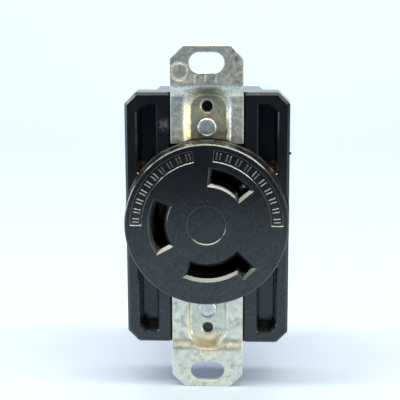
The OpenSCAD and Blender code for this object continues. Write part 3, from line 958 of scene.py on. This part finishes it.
def scratches(tree, turn, length, width, share):
    """Straight hairline scratches in the front's plane: 1 on a scratch, 0 off it."""
    lines = clouds(tree, 1, 2, 0.5, object_mm(tree, (1 / length, 1 / width, 1 / width), turn))
    return band(tree, lines, 1 - share, 1.02 - share)


def new_material(name, **sockets):
    """A material and its tree. sockets are plain values of the shader, spaces in their names as _."""
    made = bpy.data.materials.new(name)
    made.use_nodes = True
    shader = made.node_tree.nodes["Principled BSDF"]
    for key, value in sockets.items():
        shader.inputs[key.replace("_", " ")].default_value = value
    return made, made.node_tree, shader


def connect(tree, shader, **sockets):
    for key, value in sockets.items():
        tree.links.new(value, shader.inputs[key.replace("_", " ")])


def spot(tree, x, z, radius):
    """1 at a place on the front, falling to 0 at radius, in mm."""
    values = {0: object_mm(tree, (1, 0, 1)), 1: (x, 0, z)}
    away = add(tree, "ShaderNodeVectorMath", values, operation="DISTANCE").outputs["Value"]
    return band(tree, away, radius, radius * 0.2)


def rubbed_strokes_and_sheen(tree):
    """Soft strokes in three directions, stronger towards the bottom, where the strengthening is a painted
    sheen.
    """
    strokes = None
    for turn, length in ((28, 4.0), (-40, 5.0), (82, 3.2)):
        coords = object_mm(tree, (1 / length, 1.7, 1.7), turn)
        stroke = band(tree, clouds(tree, 1, 2, 0.5, coords), 0.45, 0.75)
        strokes = larger(tree, strokes, stroke) if strokes else stroke
    return times(tree, strokes, band(tree, coordinate(tree, UP), 16, -12, 0.15, 1.0))


# Painted highlight: streaked golden spots where the upper pockets' lower edges would catch the overhead
# light
def painted_glints(tree):
    streaks = clouds(tree, 1, 3, 0.6, object_mm(tree, (0.5, 2.4, 2.4), -20))
    spots = larger(tree, *(spot(tree, *place) for place in GLINT_SPOTS))
    return times(tree, spots, band(tree, streaks, 0.42, 0.56))


def panel_edge_highlights(tree):
    """1 on the walls of the sunk panels and of their ticks, which are painted paler as a highlight."""
    back = coordinate(tree, BACK)
    below_face = band(tree, back, -FACE_H + 0.01, -FACE_H + 0.03)
    return times(tree, below_face, band(tree, back, -FACE_H + 0.22, -FACE_H + 0.18))


def phenolic(name, gloss, front):
    """Black moulded phenolic: semi-gloss, with rubbed strokes, hairline scratches and dust; the strokes
    grow stronger towards the bottom as a painted sheen. The front also has a scuff, golden spots of painted
    highlight at the lower ends of its upper pockets, and paler edges on its sunk panels and their ticks as
    a painted highlight."""
    made, tree, shader = new_material(name, IOR=1.55, Specular_IOR_Level=0.5, Specular_Tint=GLOSS_TINT)
    tone = band(tree, clouds(tree, 6), 0.35, 0.65)
    colour = blend_colour(tree, tone, BLACK_DEEP, BLACK_PALE)
    lines = larger(tree, scratches(tree, 38, 14, 0.16, 0.30), scratches(tree, -47, 18, 0.2, 0.28))
    lines = times(tree, lines, band(tree, clouds(tree, 9, 2), 0.35, 0.7, 0.1, 1.0))
    colour = laid_over(tree, colour, lines, 0.22, SCRATCH_GREY)
    # Rubbed strokes, with painted sheen towards the bottom
    strokes = rubbed_strokes_and_sheen(tree)
    colour = laid_over(tree, colour, strokes, 0.8, STROKE_GREY)
    dust = larger(tree, specks(tree, 2.6, 0.10, 0.16), specks(tree, 1.0, 0.04, 0.10))
    colour = laid_over(tree, colour, dust, 0.8, DUST_GREY)
    dull = dust
    if front:
        scuff = times(tree, spot(tree, *SCUFF), band(tree, clouds(tree, 0.8, 5), 0.36, 0.66))
        colour = laid_over(tree, colour, scuff, 0.7, SCUFF_GREY)
        # Painted highlights at the lower ends of the upper pockets
        colour = laid_over(tree, colour, painted_glints(tree), 0.7, GLINT_YELLOW)
        # Painted highlight on the walls of the sunk panels and their ticks
        colour = blend_colour(tree, panel_edge_highlights(tree), colour, EDGE_HIGHLIGHT_GREY)
        dull = larger(tree, dust, scuff)
    rough = band(tree, clouds(tree, 2.2, 5), 0.3, 0.7, gloss - 0.015, gloss + 0.02)
    for share, amount in ((strokes, 0.015), (lines, 0.05), (dull, 0.3)):
        rough = plus(tree, rough, times(tree, share, amount))
    skin = bump(tree, clouds(tree, 1.6, 2), 0.003, 0.3)
    connect(tree, shader, Base_Color=colour, Roughness=rough, Normal=bump(tree, lines, -0.001, 0.4, skin))
    return made


def plated(name, pale, mid, dull, rough, blotch, size=0.55, recess=None, painted_arch=None):
    """Zinc-plated steel: pale and mid patches, dull freckles of a size in mm and as strong as blotch, and
    hairline scratches. recess is the tint laid on the drawn recess's floor, fading in from 1.5 to 2.4 mm
    behind the ears' front plane.
    The last argument gives the height and the tint of an arch painted at the recess's end: painted
    shade on the upper ear, a painted highlight on the lower."""
    made, tree, shader = new_material(name, Metallic=1.0)
    patch = band(tree, clouds(tree, 2.6, 6, 0.62), 0.36, 0.62)
    colour = blend_colour(tree, patch, (*mid, 1), (*pale, 1))
    if recess:
        floor = band(tree, coordinate(tree, BACK), 1.5, 2.4, 0.0, 0.85)
        colour = blend_colour(tree, floor, colour, (*recess, 1))
    # The arch at the recess's end is painted shade or a painted highlight, depending on its tint
    if painted_arch:
        end, tint = painted_arch
        colour = laid_over(tree, colour, spot(tree, PAINTED_ARCH_X, end, PAINTED_ARCH_R), 0.9, (*tint, 1))
    grain = band(tree, clouds(tree, size, 3, 0.7), 0.47, 0.62)
    grain = times(tree, grain, band(tree, clouds(tree, 4.5, 3), 0.38, 0.6, 0.25, 1.0))
    colour = laid_over(tree, colour, grain, blotch, (*dull, 1))
    spots = larger(tree, specks(tree, 1.4, 0.26, 0.14), specks(tree, 0.6, 0.11, 0.16))
    spots = times(tree, spots, band(tree, clouds(tree, 3.1, 3), 0.42, 0.6))
    darker = [0.6 * channel for channel in dull]
    colour = laid_over(tree, colour, spots, 0.4 * blotch, (*darker, 1))
    lines = larger(tree, scratches(tree, 22, 8, 0.1, 0.3), scratches(tree, -63, 11, 0.12, 0.3))
    finish = band(tree, clouds(tree, 1.2, 5), 0.3, 0.7, rough - 0.08, rough + 0.12)
    finish = plus(tree, finish, times(tree, larger(tree, spots, grain), 0.12))
    skin = bump(tree, clouds(tree, 0.7, 5), 0.03, 0.5)
    connect(tree, shader, Base_Color=colour, Roughness=finish, Normal=bump(tree, lines, -0.006, 0.6, skin))
    return made


def drawn_metal(name, colour, tarnish, rough):
    """Brass, bronze or spring steel strip: rolling lines and a little tarnish."""
    made, tree, shader = new_material(name, Metallic=1.0)
    stain = band(tree, clouds(tree, 2.4, 5), 0.4, 0.68)
    grain = clouds(tree, 1, 3, 0.6, object_mm(tree, (0.12, 2.5, 2.5)))
    tint = laid_over(tree, (*colour, 1), stain, 0.7, (*tarnish, 1))
    finish = band(tree, grain, 0.3, 0.7, rough - 0.06, rough + 0.1)
    connect(tree, shader, Base_Color=tint, Roughness=finish, Normal=bump(tree, grain, 0.012, 0.5))
    return made


def backdrop_paper(name, colour):
    made, tree, shader = new_material(name, Roughness=0.65)
    darker = [0.985 * channel for channel in colour]
    connect(tree, shader, Base_Color=blend_colour(tree, clouds(tree, 40, 2), (*colour, 1), (*darker, 1)))
    return made


# ------------------------------------------------------------------ assembly

def finish_piece(piece, body, material, nodes):
    piece.data.materials.clear()
    piece.data.materials.append(material)
    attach(piece, body)
    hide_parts(*nodes)


def build():
    black = phenolic("phenolic_front", 0.17, True)
    black_rear = phenolic("phenolic_rear", 0.20, False)
    # The upper ear's arch tint is painted shade at its recess's end; the lower ear's is a painted highlight
    # in its dish
    steel_top = plated(
        "zinc_upper", (0.84, 0.83, 0.70), (0.56, 0.63, 0.64), (0.24, 0.30, 0.34), rough=0.40, blotch=0.9,
        recess=(0.66, 0.62, 0.42), painted_arch=(33.6, (0.22, 0.22, 0.20)))
    steel_bottom = plated(
        "zinc_lower", (0.85, 0.87, 0.80), (0.68, 0.73, 0.68), (0.36, 0.36, 0.29), rough=0.42, blotch=0.55,
        size=1.5, recess=(0.74, 0.77, 0.68), painted_arch=(-34.2, (1.0, 0.90, 0.62)))
    rivet_steel = plated(
        "zinc_rivet", (0.80, 0.86, 0.84), (0.58, 0.66, 0.66), (0.36, 0.40, 0.38), rough=0.34, blotch=0.6)
    washer_steel = plated(
        "zinc_washer", (0.62, 0.63, 0.58), (0.50, 0.52, 0.50), (0.33, 0.32, 0.27), rough=0.38, blotch=0.5)
    clamp_steel = plated(
        "zinc_clamp", (0.60, 0.60, 0.52), (0.50, 0.51, 0.46), (0.34, 0.33, 0.28), rough=0.40, blotch=0.4)
    bronze = drawn_metal("contact_bronze", (0.15, 0.10, 0.065), (0.07, 0.05, 0.035), 0.45)
    spring = drawn_metal("spring_steel", (0.20, 0.19, 0.19), (0.12, 0.11, 0.10), 0.38)
    brass = drawn_metal("terminal_brass", (0.40, 0.28, 0.12), (0.22, 0.15, 0.07), 0.40)
    screw_brass = drawn_metal("screw_brass", (0.86, 0.68, 0.34), (0.52, 0.40, 0.20), 0.28)

    finish_piece(make_front_body(), "device", black, ["front_body"])
    finish_piece(make_rear_base(), "device", black_rear, ["rear_base"])
    upper = make_ear("upper_ear", False, UPPER_PRESS, UPPER_MARKS, UPPER_FINE)
    finish_piece(upper, "device", steel_top, ["strap_top"])
    lower = make_ear("lower_ear", True, LOWER_PRESS, LOWER_MARKS, LOWER_FINE)
    finish_piece(lower, "device", steel_bottom, ["strap_bottom"])
    finish_piece(make_rivet("upper_rivet", 1), "device", rivet_steel, ["rivet_top"])
    finish_piece(make_rivet("lower_rivet", -1), "device", rivet_steel, ["rivet_bottom"])
    washers = eased("rivet_washers", "washers", 0.12)
    finish_piece(washers, "device", washer_steel, ["rivet_washers"])
    for letter, side, y in TERMINALS:
        pieces = (
            ("contact", "device", "contact_bronze", bronze, 0.08),
            ("contact_spring", "device", "spring_steel", spring, 0.06),
            ("terminal_box", "device", "terminal_brass", brass, 0.2),
            ("clamp_plate", f"clamp_{letter}", "clamp_steel", clamp_steel, 0.15))
        for stem, body, slot, material, width in pieces:
            node = f"{stem}_{letter}"
            finish_piece(eased(node, f"{node}_piece", width), body, material, [node])
        screw = make_screw(letter, side, y)
        finish_piece(screw, f"screw_{letter}", screw_brass, [f"terminal_screw_{letter}"])


# ------------------------------------------------------------------ studio, in metres and watts

PAPER = (0.455, 0.57, 0.73)
ROOM_COLOUR = (0.36, 0.60, 1.0, 1)
ROOM_STRENGTH = 0.085

# Each light: name, place, what it points at, width, height, power and colour
LIGHTS = (
    ("overhead", (0.05, -0.11, 0.46), (0.05, 0, 0), 1.10, 0.08, 5.5, (1.0, 0.90, 0.71)),
    ("ceiling", (0.0, -0.45, 0.42), (0, 0, 0), 0.50, 0.35, 0.9, (1.0, 0.87, 0.66)),
    ("corner", (-0.64, -0.11, 0.46), (0, 0, 0), 0.26, 0.08, 0.9, (1.0, 0.95, 0.85)),
    ("left", (-0.60, -0.06, 0.06), (0, 0, 0), 0.25, 0.25, 1.5, (0.88, 0.94, 1.0)),
    ("right", (0.53, -0.26, 0.04), (0, 0, 0), 0.22, 0.30, 1.7, (1.0, 0.86, 0.58)),
    ("backdrop_light", (0, 0.42, 0.70), (0, 0.72, 0.12), 1.2, 0.2, 8.3, (1.0, 0.87, 0.82)),
)

CAMERA_AT = Vector((0.01146, -0.2726, 0.0637))
CAMERA_AIM = Vector((-0.00182, 0, 0.00581))
CAMERA_ROLL = -0.24
LENS_MM = 95.7
SENSOR_MM = 36


def make_backdrop():
    """A paper sweep: the floor runs back and curves up into a wall."""
    floor_z = CAD_BOX[0].z
    front, back, radius, wall, half, steps = -0.22, 0.42, 0.30, 0.9, 1.2, 24
    path = [(front, floor_z), (back, floor_z)]
    for i in range(1, steps + 1):
        angle = math.radians(90 * i / steps)
        path.append((back + radius * math.sin(angle), floor_z + radius * (1 - math.cos(angle))))
    path.append((back + radius, floor_z + wall))
    bm = bmesh.new()
    rows = [[bm.verts.new((x, y, z)) for y, z in path] for x in (-half, half)]
    stitch(bm, rows, around=False)
    sweep_piece = new_object("backdrop", bm)
    for polygon in sweep_piece.data.polygons:
        polygon.use_smooth = True
    sweep_piece.data.materials.append(backdrop_paper("paper", PAPER))


def softbox(name, location, target, width, height, power, colour):
    data = bpy.data.lights.new(name, "AREA")
    data.shape = "RECTANGLE"
    data.size, data.size_y = width, height
    data.energy = power
    data.color = colour
    light = bpy.data.objects.new(name, data)
    light.location = location
    light.rotation_euler = (Vector(target) - Vector(location)).to_track_quat("-Z", "Y").to_euler()
    bpy.context.scene.collection.objects.link(light)


def make_lights():
    for light in LIGHTS:
        softbox(*light)
    world = bpy.data.worlds.new("room")
    world.use_nodes = True
    background = world.node_tree.nodes["Background"]
    background.inputs["Color"].default_value = ROOM_COLOUR
    background.inputs["Strength"].default_value = ROOM_STRENGTH
    bpy.context.scene.world = world


def make_camera():
    """Stands a little right of the face and looks slightly down on it."""
    data = bpy.data.cameras.new("camera")
    data.sensor_width = SENSOR_MM
    data.lens = LENS_MM
    data.clip_start = 0.01
    camera = bpy.data.objects.new("camera", data)
    look = (CAMERA_AIM - CAMERA_AT).to_track_quat("-Z", "Y").to_matrix()
    turn = look @ Matrix.Rotation(math.radians(CAMERA_ROLL), 3, "Z")
    camera.matrix_world = Matrix.Translation(CAMERA_AT) @ turn.to_4x4()
    bpy.context.scene.collection.objects.link(camera)
    bpy.context.scene.camera = camera


make_camera()
build()
make_backdrop()
make_lights()
bpy.context.scene.view_settings.view_transform = "Standard"
